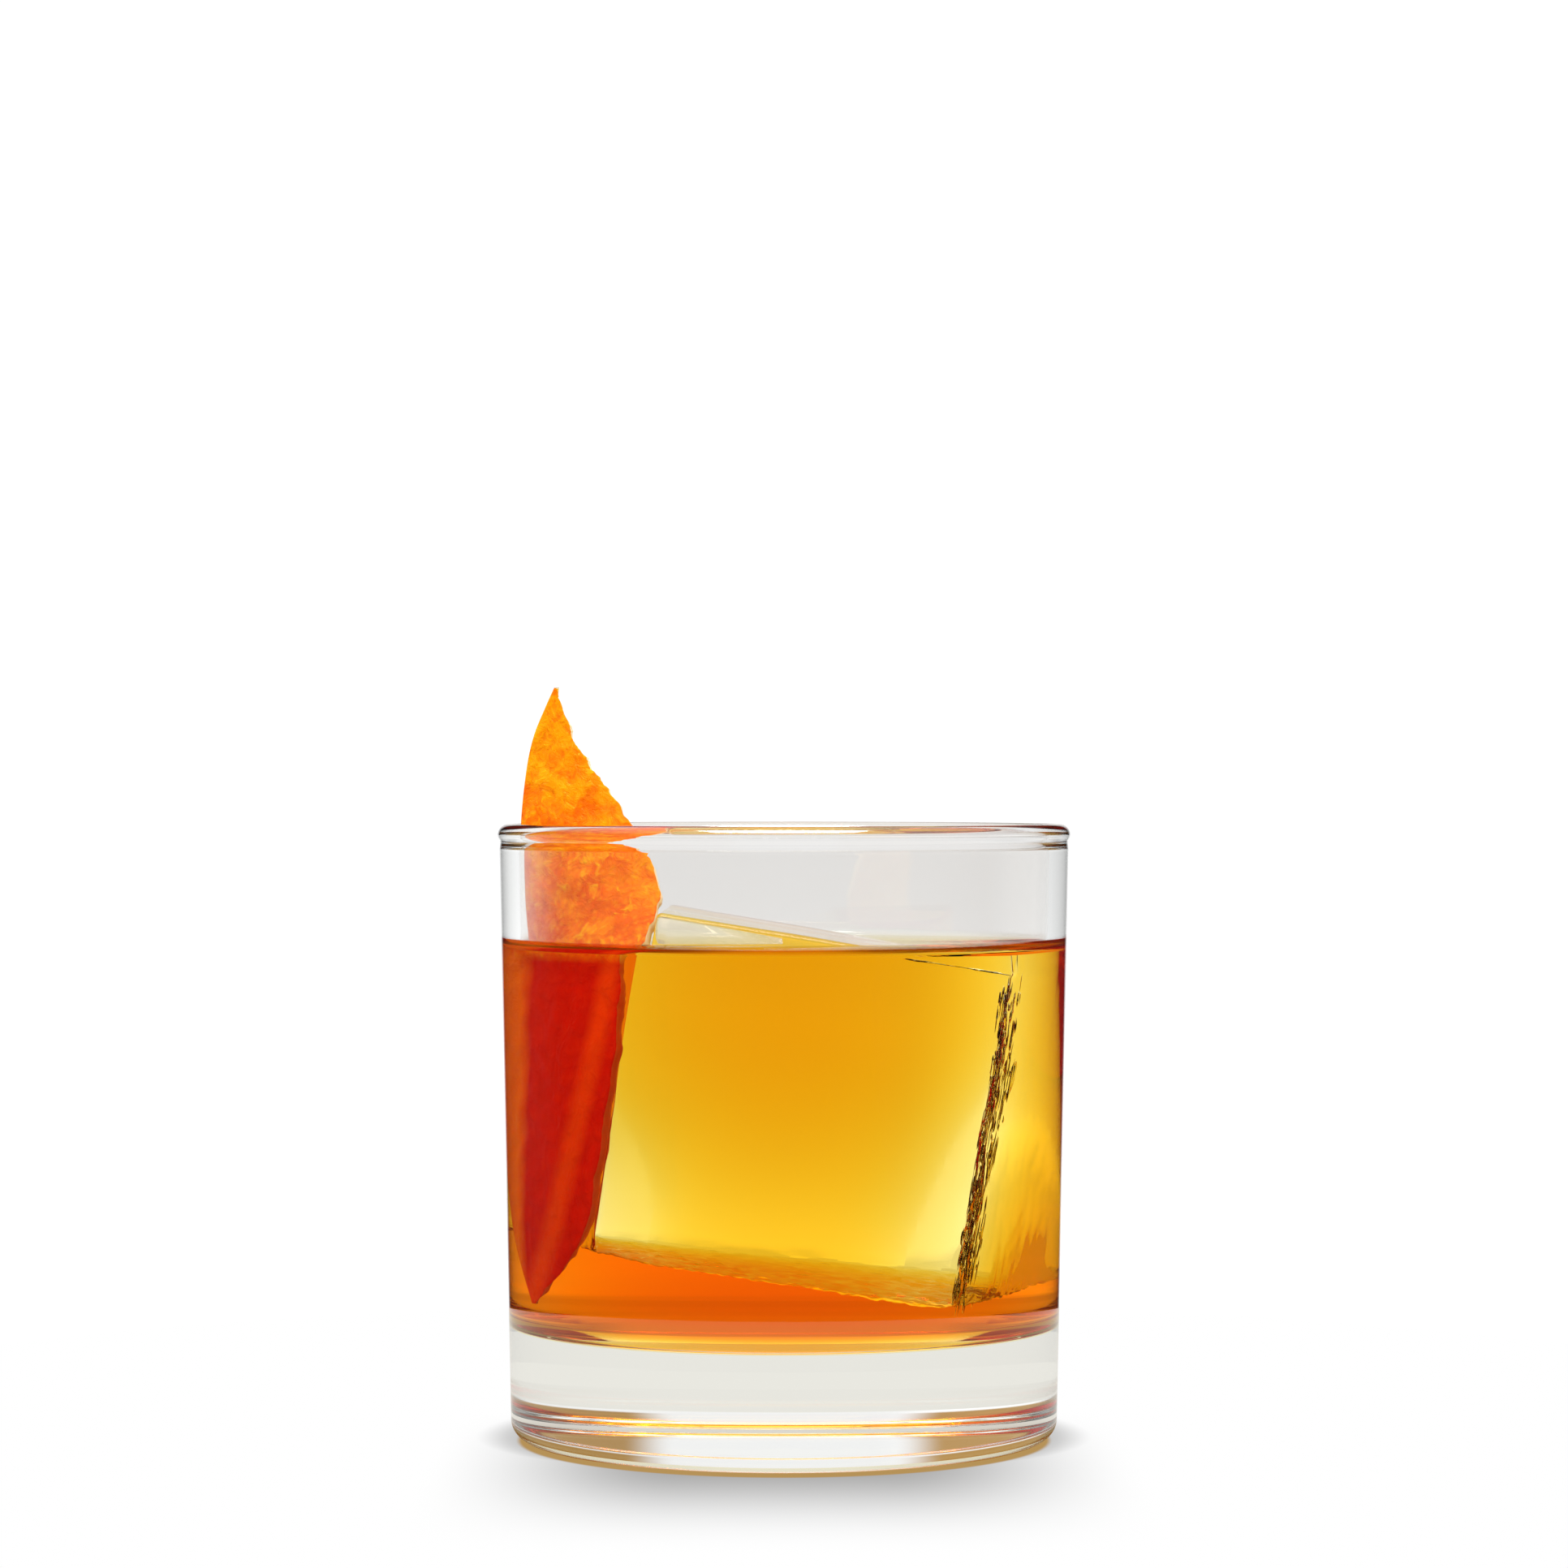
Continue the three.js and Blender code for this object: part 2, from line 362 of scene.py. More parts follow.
@dataclass(frozen=True)
class OrangeZest:
    """The skin of a ripe orange: waxy, full of oil glands about a millimetre across.

    It is yellower towards its tip and paler on its glands. Its furrows carry painted shade and its crests
    painted highlights, which stand for the light on its relief. Under the drink it is painted a darker red,
    painted shade for the light that the drink takes, with a painted highlight along one fold and a painted
    backlight where the light from behind reaches.
    """

    pale: str = "FFA000"
    ripe: str = "FC7E00"
    deep: str = "F06400"
    # Painted light: the furrow colour is painted shade and the crest colour a painted highlight.
    furrow_shade: str = "E86400"
    crest_highlight: str = "FFB40C"
    # Painted shade under the drink: darker reds for the light that the drink takes, darker still in the
    # furrows.
    drink_shade: str = "E61200"
    drink_furrow_shade: str = "C40000"
    # Painted backlight: lighter orange where the light from behind reaches the skin.
    painted_backlight: str = "FF7C14"
    fold_highlight: str = "FF5A14"
    patch_mm: float = 5.0
    deep_to_pale: Point = (0.34, 0.66)
    paler_upwards: Change = Change(DRINK_LEVEL, PEEL_TIP, -0.1, 0.2)
    wrinkle_mm: float = 2.0
    wrinkle_height_mm: float = 1.0
    furrow_shade_share: Change = Change(0.34, 0.5, 0.75, 0.0)
    crest_highlight_share: Change = Change(0.54, 0.68, 0.0, 0.8)
    gland_mm: float = 1.1
    gland_depth_mm: float = 0.25
    gland_middles: Change = Change(0.1, 0.5, 0.4, 0.0)
    under_drink: Change = Change(DRINK_LEVEL, DRINK_LEVEL - 1.5, 0.0, 0.97)
    lit_behind: Change = Change(-11.0, -8.0)
    # Where the painted highlight along the fold runs, and how wide it is.
    fold_highlight_foot: float = -39.1
    fold_highlight_lean: float = 0.231
    fold_highlight_width: Change = Change(0.4, 1.9, 0.55, 0.0)

    def dry(
        self,
        tree: bpy.types.NodeTree,
        place: bpy.types.NodeSocket,
        height: bpy.types.NodeSocket,
        wrinkles: bpy.types.Node,
        glands: bpy.types.Node,
    ) -> bpy.types.Node:
        """Colour the skin that stands out of the drink.

        Args:
            tree: The node tree.
            place: The place on the peel.
            height: Its height.
            wrinkles: The pattern of the wrinkles.
            glands: The pattern of the oil glands.

        Returns:
            The colour.
        """
        inputs = {"Vector": place, "Scale": 1 / (self.patch_mm * MM), "Detail": 3.0, "Roughness": 0.55}
        patches = add_node(tree, "ShaderNodeTexNoise", inputs)
        upwards = add_node(tree, "ShaderNodeMapRange", (height, *self.paler_upwards.in_mm()))
        share = add_node(tree, "ShaderNodeMath", (patches, upwards), operation="ADD")
        colour = add_node(tree, "ShaderNodeValToRGB", (share,))
        stops = colour.color_ramp.elements
        stops[0].position, stops[1].position = self.deep_to_pale
        stops[0].color, stops[1].color = hex_linear(self.deep), hex_linear(self.pale)
        stops.new(sum(self.deep_to_pale) / 2).color = hex_linear(self.ripe)
        # The wrinkles' relief is shown by colour: painted shade in the furrows and painted highlights on
        # the crests.
        layers = (
            (wrinkles, self.furrow_shade_share, self.furrow_shade),
            (wrinkles, self.crest_highlight_share, self.crest_highlight),
            (glands, self.gland_middles, self.pale),
        )
        for pattern, change, code in layers:
            share = add_node(tree, "ShaderNodeMapRange", (pattern, *change))
            inputs = {0: share, 6: colour, 7: hex_linear(code)}
            colour = add_node(tree, "ShaderNodeMix", inputs, data_type="RGBA")
        return colour

    def tinted(
        self,
        tree: bpy.types.NodeTree,
        place: bpy.types.NodeSocket,
        depth: bpy.types.NodeSocket,
        wrinkles: bpy.types.Node,
    ) -> bpy.types.Node:
        """Colour the skin that stands in the drink, with painted shade, a painted backlight and a painted
        fold highlight.

        Args:
            tree: The node tree.
            place: The place on the peel.
            depth: How far back it is.
            wrinkles: The pattern of the wrinkles.

        Returns:
            The colour.
        """
        # Painted shade: darker red under the drink, darker still where the wrinkles are low.
        inputs = {0: wrinkles, 6: hex_linear(self.drink_furrow_shade), 7: hex_linear(self.drink_shade)}
        colour = add_node(tree, "ShaderNodeMix", inputs, data_type="RGBA")
        across = add_node(
            tree,
            "ShaderNodeVectorMath",
            (place, (1, 0, -self.fold_highlight_lean)),
            operation="DOT_PRODUCT",
        )
        off_fold_highlight = add_node(tree, "ShaderNodeMath", (across, self.fold_highlight_foot * MM), operation="SUBTRACT")
        off_fold_highlight = add_node(tree, "ShaderNodeMath", (off_fold_highlight,), operation="ABSOLUTE")
        # Painted backlight towards the back, and a painted highlight along one fold.
        layers = ((depth, self.lit_behind, self.painted_backlight), (off_fold_highlight, self.fold_highlight_width, self.fold_highlight))
        for distance, change, code in layers:
            share = add_node(tree, "ShaderNodeMapRange", (distance, *change.in_mm()))
            inputs = {0: share, 6: colour, 7: hex_linear(code)}
            colour = add_node(tree, "ShaderNodeMix", inputs, data_type="RGBA")
        return colour

    def material(self) -> bpy.types.Material:
        """Make the zest.

        Returns:
            The material.
        """
        material = empty_material("orange_zest")
        tree = material.node_tree
        place = add_node(tree, "ShaderNodeTexCoord").outputs["Object"]
        axes = add_node(tree, "ShaderNodeSeparateXYZ", (place,)).outputs
        wrinkles = add_node(
            tree,
            "ShaderNodeTexNoise",
            {
                "Vector": place,
                "Scale": 1 / (self.wrinkle_mm * MM),
                "Detail": 5.0,
                "Roughness": 0.65,
                "Distortion": 0.6,
            },
        )
        inputs = {"Vector": place, "Scale": 1 / (self.gland_mm * MM), "Randomness": 0.9}
        glands = add_node(tree, "ShaderNodeTexVoronoi", inputs)
        dry = self.dry(tree, place, axes["Z"], wrinkles, glands)
        tinted = self.tinted(tree, place, axes["Y"], wrinkles)
        under = add_node(tree, "ShaderNodeMapRange", (axes["Z"], *self.under_drink.in_mm()))
        colour = add_node(tree, "ShaderNodeMix", {0: under, 6: dry, 7: tinted}, data_type="RGBA")
        inputs = {"Height": wrinkles, "Strength": 0.9, "Distance": self.wrinkle_height_mm * MM}
        creases = add_node(tree, "ShaderNodeBump", inputs)
        bump = add_node(
            tree,
            "ShaderNodeBump",
            {
                "Height": glands,
                "Strength": 0.35,
                "Distance": self.gland_depth_mm * MM,
                "Normal": creases,
            },
        )
        skin = add_node(
            tree,
            "ShaderNodeBsdfPrincipled",
            {
                "Base Color": colour,
                "Roughness": 0.42,
                "IOR": 1.46,
                "Specular IOR Level": 0.06,
                "Subsurface Weight": 0.35,
                "Subsurface Radius": (1.0, 0.35, 0.06),
                "Subsurface Scale": 1.2 * MM,
                "Normal": bump,
            },
        )
        add_node(tree, "ShaderNodeOutputMaterial", {"Surface": skin})
        return material


@dataclass(frozen=True)
class OrangePith:
    """The spongy white under the zest, stained a little by its oil: dull and slightly rough."""

    pale: str = "F6E3BC"
    tinted: str = "F2C983"
    drink_shade: str = "C81800"
    under_drink: Change = Change(DRINK_LEVEL, DRINK_LEVEL - 1.5, 0.0, 0.9)
    sponge_mm: float = 1.6
    sponge_depth_mm: float = 0.3

    def material(self) -> bpy.types.Material:
        """Make the pith.

        Returns:
            The material.
        """
        material = empty_material("orange_pith")
        tree = material.node_tree
        place = add_node(tree, "ShaderNodeTexCoord").outputs["Object"]
        height = add_node(tree, "ShaderNodeSeparateXYZ", (place,)).outputs["Z"]
        inputs = {"Vector": place, "Scale": 1 / (self.sponge_mm * MM), "Detail": 4.0}
        sponge = add_node(tree, "ShaderNodeTexNoise", inputs)
        inputs = {0: sponge, 6: hex_linear(self.tinted), 7: hex_linear(self.pale)}
        dry = add_node(tree, "ShaderNodeMix", inputs, data_type="RGBA")
        # Under the drink the pith is painted red, painted shade for the light that the drink takes.
        under = add_node(tree, "ShaderNodeMapRange", (height, *self.under_drink.in_mm()))
        inputs = {0: under, 6: dry, 7: hex_linear(self.drink_shade)}
        drink_shaded = add_node(tree, "ShaderNodeMix", inputs, data_type="RGBA")
        inputs = {"Height": sponge, "Strength": 0.5, "Distance": self.sponge_depth_mm * MM}
        bump = add_node(tree, "ShaderNodeBump", inputs)
        skin = add_node(
            tree,
            "ShaderNodeBsdfPrincipled",
            {
                "Base Color": drink_shaded,
                "Roughness": 0.75,
                "Subsurface Weight": 0.4,
                "Subsurface Radius": (1.0, 0.6, 0.25),
                "Subsurface Scale": 1.5 * MM,
                "Normal": bump,
            },
        )
        add_node(tree, "ShaderNodeOutputMaterial", {"Surface": skin})
        return material


@dataclass
class RocksGlass:
    """The glass: a straight wall, flared a little, on a thick solid base with a round foot."""

    height: float = 92.0
    rim_radius: float = 42.8
    foot_radius: float = 40.9
    wall: float = 2.85
    foot_corner: float = 3.0
    foot_steps: int = 14
    dish_radius: float = 32.0
    dish_depth: float = 0.8
    dish_rings: int = 8
    floor_height: float = 16.8
    floor_corner: float = 2.6
    floor_steps: int = 16
    floor_dip: float = 0.5
    dip_rings: int = 6
    lip_radius: float = 1.6
    lip_bulge: float = 0.18
    lip_start_deg: float = -40.0
    lip_steps: int = 28
    neck_below_lip: float = 1.4
    crease_deg: float = 60.0
    steps: int = 256

    def outer_radius(self, z: float) -> float:
        """Radius of the outside at a height."""
        return self.foot_radius + (self.rim_radius - self.foot_radius) * z / self.height

    def inner_radius(self, z: float) -> float:
        """Radius of the inside at a height."""
        return self.outer_radius(z) - self.wall

    def inside(self, top: float, inset: float) -> list[Point]:
        """Profile of the floor and wall of the inside, from the axis up to a height.

        Args:
            top: Where it ends.
            inset: How far it lies inside the glass's surface, or in the glass where negative.

        Returns:
            The profile.
        """
        corner = self.floor_corner
        floor = self.floor_height + inset
        flat = self.inner_radius(floor + corner) - inset - corner
        shares = [i / self.dip_rings for i in range(self.dip_rings)]
        dip = [(flat * share, floor - self.floor_dip * (1 - share**2)) for share in shares]
        bend = arc((flat, floor + corner), corner, -90, 0, self.floor_steps)
        return [*dip, *bend, (self.inner_radius(top) - inset, top)]

    def profile(self, wet_height: float) -> list[Point]:
        """Profile of the whole glass, from the underside's centre round to the floor's.

        Args:
            wet_height: How high the drink reaches on the wall.

        Returns:
            The profile.
        """
        corner = self.foot_corner
        shares = [i / self.dish_rings for i in range(self.dish_rings + 1)]
        dish = [(self.dish_radius * share, self.dish_depth * (1 - share**2)) for share in shares]
        foot = arc((self.outer_radius(corner) - corner, corner), corner, -90, 0, self.foot_steps)
        lip_centre = (self.rim_radius + self.lip_bulge - self.lip_radius, self.height - self.lip_radius)
        neck = lip_centre[1] - self.neck_below_lip * self.lip_radius
        lip = arc(lip_centre, self.lip_radius, self.lip_start_deg, 180, self.lip_steps)
        dry_wall = (self.inner_radius(neck), neck)
        wet_side = reversed(self.inside(wet_height, 0))
        return [*dish, *foot, (self.outer_radius(neck), neck), *lip, dry_wall, *wet_side]

    def is_inside(self, point: Vector) -> bool:
        """True for a point of the glass's inner skin, in millimetres."""
        within = math.hypot(point.x, point.y) < self.outer_radius(point.z) - self.wall / 2
        return within and point.z > self.floor_height / 2

    def build(self, finish: SodaLimeGlass, wet_height: float) -> bpy.types.Object:
        """Make the glass.

        Args:
            finish: What it is made of.
            wet_height: How high the drink reaches on the wall.

        Returns:
            The piece.
        """
        body = revolve(self.profile(wet_height), self.steps)
        for face in body.faces:
            middle = face.calc_center_median() / MM
            if self.is_inside(middle):
                face.material_index = 1 if middle.z < wet_height else 2
        piece = make_piece("rocks_glass", body, self.crease_deg)
        outside = finish.material("fire_polished_glass", GLASS_IOR, finish.tint)
        wet = finish.material("glass_under_drink", GLASS_IOR / DRINK_IOR, finish.tint)
        above = finish.material("glass_above_drink", GLASS_IOR, finish.film)
        install(piece, "glass", "glass", outside, wet, above)
        return piece


@dataclass
class IceBlock:
    """One clear block that floats right side down, its edges melted round, its right side pitted."""

    size: Place = (50.6, 46.0, 50.3)
    centre: Place = (2.6, 0.0, 50.65)
    tilt_deg: float = 9.4
    edge_radius: float = 1.0
    edge_steps: int = 5
    top_skin: float = 0.6
    cell: float = 0.8
    melt_depth: float = 0.25
    melt_wave: float = 11.0
    pit_depth: float = 0.9
    pit_reach: float = 4.0
    pit_size: Place = (2.4, 1.7, 5.0)
    pit_octaves: tuple[Point, ...] = ((1.0, 0.5), (2.1, 0.4), (4.3, 0.3))
    pit_share: float = 0.4
    pits_end: Point = (7.0, 2.0)
    pits_behind: float = 0.06
    crackle_depth: float = 0.6
    crackle_reach: Point = (3.0, 0.5)
    crackle_octaves: tuple[Point, ...] = ((1.3, 0.6), (0.6, 0.4))
    crackle_share: float = 0.5
    melt_water: float = 8.0
    water_low: Point = (12.0, -22.0)
    water_right: Point = (6.0, 24.0)
    water_right_foot: Point = (22.0, -4.0)
    water_left: Point = (-10.0, -24.0)
    water_left_foot: Point = (2.0, -18.0)
    low_share: float = 0.7
    edge_share: float = 0.6
    right_water: float = 2.5
    water_clear_of_axis: float = 36.0
    film_over: float = 0.3
    flakes: int = 420
    flake_heights: Point = (-0.96, 0.88)
    # How near the flakes come to the face, how much farther they reach, and how they crowd near it.
    from_side: Place = (0.1, 1.4, 1.5)
    from_front: Place = (0.8, 17.0, 2.2)
    flake_wander: float = 0.5
    wander_place: Place = (0.0, 4.2, 4.0)
    flake_reach: tuple[Point, ...] = ((0.04, 0.12), (0.08, 0.35), (0.4, 2.6))
    flake_turn: float = 0.5
    flake_ragged: Point = (0.8, 2.2)
    top_flakes: int = 14
    top_flakes_across: Point = (-2.0, 1.5)
    top_flakes_back: Point = (1.2, 2.0)
    top_flakes_under: float = 1.2
    top_flake_reach: tuple[Point, ...] = ((0.8, 2.6), (0.1, 0.4), (0.06, 0.16))
    flake_seed: int = 5

    def slab(self) -> bmesh.types.BMesh:
        """Make the unmelted block round the origin, cut into small cells.

        Returns:
            The body.
        """
        body = bmesh.new()
        bmesh.ops.create_cube(body, size=1)
        bmesh.ops.scale(body, vec=Vector(self.size) * MM, verts=body.verts)
        bmesh.ops.bevel(
            body,
            geom=body.edges[:],
            offset=self.edge_radius * MM,
            offset_type="OFFSET",
            segments=self.edge_steps,
            profile=0.5,
            affect="EDGES",
            material=-1,
        )
        for axis in range(3):
            normal = Vector((axis == 0, axis == 1, axis == 2))
            span = self.size[axis] - 2 * self.edge_radius
            cuts = round(span / self.cell)
            for i in range(1, cuts):
                cut_through(body, normal * (span * (i / cuts - 0.5) * MM), normal)
        body.normal_update()
        return body

    def body(
        self, inset: float = 0.0, melt_water: float = 0.0, water_top: float = 0.0
    ) -> bmesh.types.BMesh:
        """Make the block's body.

        Args:
            inset: How far its skin is drawn in.
            melt_water: How thick the clear water lies on its front and back, at most.
            water_top: How high the clear water stands over what is sunk of its top.

        Returns:
            The body, in place.
        """
        body = self.slab()
        half_width, half_depth, half_height = (length / 2 for length in self.size)
        moves = [(v, v.normal * (self.melt(v.co / MM) + inset) * -MM) for v in body.verts]
        for vertex, move in moves:
            share = vertex.co.y / (half_depth * MM)
            vertex.co += move
            room = math.sqrt(self.water_clear_of_axis**2 - (vertex.co.x / MM) ** 2) - half_depth
            water = min(room, melt_water * self.water_share(vertex.co / MM))
            vertex.co.y += share * water * MM
            if melt_water and vertex.co.x > 0:
                bulge = self.right_water * max(0.0, 1 - (vertex.co.y / MM / half_depth) ** 2)
                vertex.co.x += bulge * vertex.co.x / half_width
        on_top = [vertex for vertex in body.verts if vertex.co.z > (half_height - self.top_skin) * MM]
        bmesh.ops.transform(body, matrix=self.placed(MM), verts=body.verts)
        for vertex in on_top:
            vertex.co.z = max(vertex.co.z, water_top * MM)
        return body

    def placed(self, unit: float = 1.0) -> Matrix:
        """The turn and move from the block's own place to where it floats, for this unit of length."""
        tilt = Matrix.Rotation(math.radians(self.tilt_deg), 4, "Y")
        return Matrix.Translation(Vector(self.centre) * unit) @ tilt

    def water_share(self, point: Vector) -> float:
        """How thick clear melt water lies on the front and back, as a share of the most.

        It gathers low down and along the upright edges, where it thins the drink.

        Args:
            point: A point of the skin, from the block's centre, in millimetres.

        Returns:
            The share.
        """
        low = smooth_step(*self.water_low, point.z)
        right = smooth_step(*self.water_right, point.x) * smooth_step(*self.water_right_foot, point.z)
        left = smooth_step(*self.water_left, point.x) * smooth_step(*self.water_left_foot, point.z)
        return self.low_share * low + self.edge_share * max(left, right)

    def melt(self, point: Vector) -> float:
        """How deep the skin has melted at a point of the block, in millimetres.

        Args:
            point: The point, from the block's centre, in millimetres.

        Returns:
            The depth.
        """
        wave = 0.5 + 0.5 * noise.noise(point / self.melt_wave)
        right = min(1.0, max(0.0, (point.x - self.size[0] / 2 + self.pit_reach) / self.pit_reach))
        streak = Vector([p / size for p, size in zip(point, self.pit_size)])
        pits = self.pit_share
        pits += sum(share * noise.noise(streak * finer) for finer, share in self.pit_octaves)
        from_front = point.y + self.size[1] / 2
        pits *= self.pits_behind + (1 - self.pits_behind) * smooth_step(*self.pits_end, from_front)
        below = smooth_step(*self.crackle_reach, point.z + self.size[2] / 2)
        crackle = self.crackle_share
        crackle += sum(share * noise.noise(point / size) for size, share in self.crackle_octaves)
        depth = self.melt_depth * wave + self.pit_depth * right * right * max(0.0, pits)
        return depth + self.crackle_depth * below * max(0.0, crackle)

    def build(self, finish: ClearIce, wet_height: float) -> bpy.types.Object:
        """Make the ice.

        Args:
            finish: What it is made of.
            wet_height: How high the drink stands round it.

        Returns:
            The piece.
        """
        body = self.body()
        cut_through(body, Vector((0, 0, wet_height * MM)), Vector((0, 0, 1)))
        for face in body.faces:
            face.material_index = int(face.calc_center_median().z < wet_height * MM)
        self.add_flakes(body)
        piece = make_piece("ice_block", body, crease_deg=180)
        dry = finish.material("clear_ice", ICE_IOR, finish.wetted)
        wet = finish.material("ice_under_drink", 1.0, finish.clear)
        # The air flakes get their painted dark brown shade here.
        flakes = finish.material("air_in_ice", ICE_IOR, finish.flake)
        install(piece, "ice_cube", "clear_ice", dry, wet, flakes)
        return piece

    def add_flakes(self, body: bmesh.types.BMesh) -> None:
        """Add thin flakes of air, frozen in along the front edge at the right and under the top edge.

        Args:
            body: The ice's body.
        """
        chance = random.Random(self.flake_seed)
        half = Vector(self.size) / 2
        for _ in range(self.flakes):
            up = chance.uniform(*self.flake_heights) * half.z
            aside, back = (
                near + farther * chance.random() ** crowd
                for near, farther, crowd in (self.from_side, self.from_front)
            )
            wander_x, wander_y, wander_length = self.wander_place
            aside -= self.flake_wander * noise.noise(Vector((wander_x, wander_y, up / wander_length)))
            middle = Vector((half.x - aside, back - half.y, up))
            spread = Vector([chance.uniform(*reach) for reach in self.flake_reach])
            self.add_flake(body, middle, spread, chance.uniform(-self.flake_turn, self.flake_turn))
        for _ in range(self.top_flakes):
            start, margin = self.top_flakes_across
            across = chance.uniform(start, half.x - margin)
            back = chance.uniform(*self.top_flakes_back)
            middle = Vector((across, back - half.y, half.z - self.top_flakes_under))
            spread = Vector([chance.uniform(*reach) for reach in self.top_flake_reach])
            self.add_flake(body, middle, spread, 0.0)

    def add_flake(self, body: bmesh.types.BMesh, middle: Vector, spread: Vector, turn: float) -> None:
        """Add one ragged flake, whose faces point into it.

        Args:
            body: The ice's body.
            middle: The flake's middle, from the block's centre, in millimetres.
            spread: How far it reaches along each axis.
            turn: Its turn about the upright axis, in radians.
        """
        place = self.placed() @ Matrix.Translation(middle) @ Matrix.Rotation(turn, 4, "Z")
        flake = bmesh.ops.create_icosphere(body, subdivisions=2, radius=1)["verts"]
        raggedness, pitch = self.flake_ragged
        for vertex in flake:
            ragged = 1 + raggedness * noise.noise(vertex.co * pitch + middle)
            vertex.co = place @ (vertex.co * spread * ragged) * MM
        faces = {face for vertex in flake for face in vertex.link_faces}
        bmesh.ops.reverse_faces(body, faces=list(faces))
        for face in faces:
            face.material_index = 2


@dataclass
class OrangeSwath:
    """A long swath of skin, cut from the fruit with a knife, that stands between ice and wall.

    Its skin runs between two cut edges and bulges outwards, as it did on the fruit.
    """

    left_edge: tuple[Place, ...] = (
        (-34.0, -12.0, 21.5),
        (-36.7, -4.5, 33),
        (-38.0, 2.0, 50),
        (-38.3, 1.5, 66),
        (-38.8, -1.5, 75),
        (-39.0, -3.6, 82),
        (-39.5, -1.6, 91),
        (-38.7, -2.2, 99.5),
        (-37.5, -3.4, 105),
        (-35.6, -4.4, 109.6),
        (-34.3, -5.0, 112.4),
    )
    right_edge: tuple[Place, ...] = (
        (-33.4, -12.6, 21.5),
        (-27.3, -23.2, 32.5),
        (-24.7, -24.8, 47),
        (-22.3, -24.4, 62),
        (-21.0, -20.5, 73),
        (-18.3, -13.4, 81.5),
        (-22.9, -8.6, 92.3),
        (-27.9, -6.4, 99.2),
        (-30.9, -5.4, 104),
        (-33.2, -5.0, 109.6),
        (-33.8, -5.0, 112.2),
    )
    thickness: float = 1.7
    bulge_share: float = 0.075
    stations: int = 260
    across: int = 60
    dimple_pitch: float = 1.1
    dimple_reach: float = 0.6
    dimple_depth: float = 0.14
    lump_size: float = 3.2
    lump_depth: float = 0.6
    flat_margin: float = 2.0
    edge_waves: tuple[Place, ...] = ((34.0, 3.7, 0.8), (110.0, 9.1, 0.3))
    straight_below: float = 6.0
    slope_step: float = 0.01

    def along(self, edge: tuple[Place, ...], share: float) -> Vector:
        """A point of a smooth curve through an edge's points.

        Args:
            edge: The points.
            share: How far along the edge, from 0 to 1.

        Returns:
            The point, in millimetres.
        """
        reach = share * (len(edge) - 1)
        i = min(int(reach), len(edge) - 2)
        t = reach - i
        p1, p2 = Vector(edge[i]), Vector(edge[i + 1])
        p0 = Vector(edge[i - 1]) if i > 0 else 2 * p1 - p2
        p3 = Vector(edge[i + 2]) if i + 2 < len(edge) else 2 * p2 - p1
        bend = 2 * p0 - 5 * p1 + 4 * p2 - p3
        turn = 3 * p1 - p0 - 3 * p2 + p3
        return 0.5 * (2 * p1 + (p2 - p0) * t + bend * t**2 + turn * t**3)

    def skin_point(self, up: float, share: float) -> Vector:
        """A point of the outer skin.

        Args:
            up: How far from the lower tip to the upper one, from 0 to 1.
            share: How far from the left edge to the right one, from 0 to 1.

        Returns:
            The point, in millimetres.
        """
        left, right = self.along(self.left_edge, up), self.along(self.right_edge, up)
        above, below = min(1, up + self.slope_step), max(0, up - self.slope_step)
        rise = self.along(self.left_edge, above) - self.along(self.left_edge, below)
        across = right - left
        outward = across.cross(rise).normalized()
        width = across.length
        room = min(1, width / self.straight_below)
        wave = sum(size * noise.noise(Vector((up * finer, 0, at))) for finer, at, size in self.edge_waves)
        point = left + across * share + across.normalized() * (wave * room * share)
        point += outward * (self.bulge_share * width * 4 * share * (1 - share))
        inside_edge = min(1.0, min(share, 1 - share) * width / self.flat_margin)
        lump = self.lump_depth * noise.noise(point / self.lump_size)
        nearest = noise.voronoi(point / self.dimple_pitch)[0][0]
        dimple = self.dimple_depth * (min(nearest, self.dimple_reach) - self.dimple_reach / 2)
        return point + outward * ((lump + dimple) * inside_edge)

    def build(self, zest: OrangeZest, pith: OrangePith) -> bpy.types.Object:
        """Make the peel.

        Args:
            zest: The outer skin's finish.
            pith: The inner side's finish.

        Returns:
            The piece.
        """
        body = bmesh.new()
        bmesh.ops.create_grid(body, x_segments=self.across, y_segments=self.stations, size=0.5)
        for vertex in body.verts:
            vertex.co = self.skin_point(vertex.co.y + 0.5, vertex.co.x + 0.5) * MM
        bmesh.ops.recalc_face_normals(body, faces=body.faces)
        if sum(face.normal.y * face.calc_area() for face in body.faces) > 0:
            bmesh.ops.reverse_faces(body, faces=body.faces)
        piece = make_piece("orange_swath", body, crease_deg=50)
        skin = piece.modifiers.new("skin", "SOLIDIFY")
        skin.thickness = self.thickness * MM
        skin.offset = -1.0
        skin.use_even_offset = False
        skin.material_offset = 1
        skin.material_offset_rim = 1
        piece.data.materials.append(zest.material())
        piece.data.materials.append(pith.material())
        apply_modifiers(piece)
        install(piece, "orange_peel", "orange_zest")
        return piece


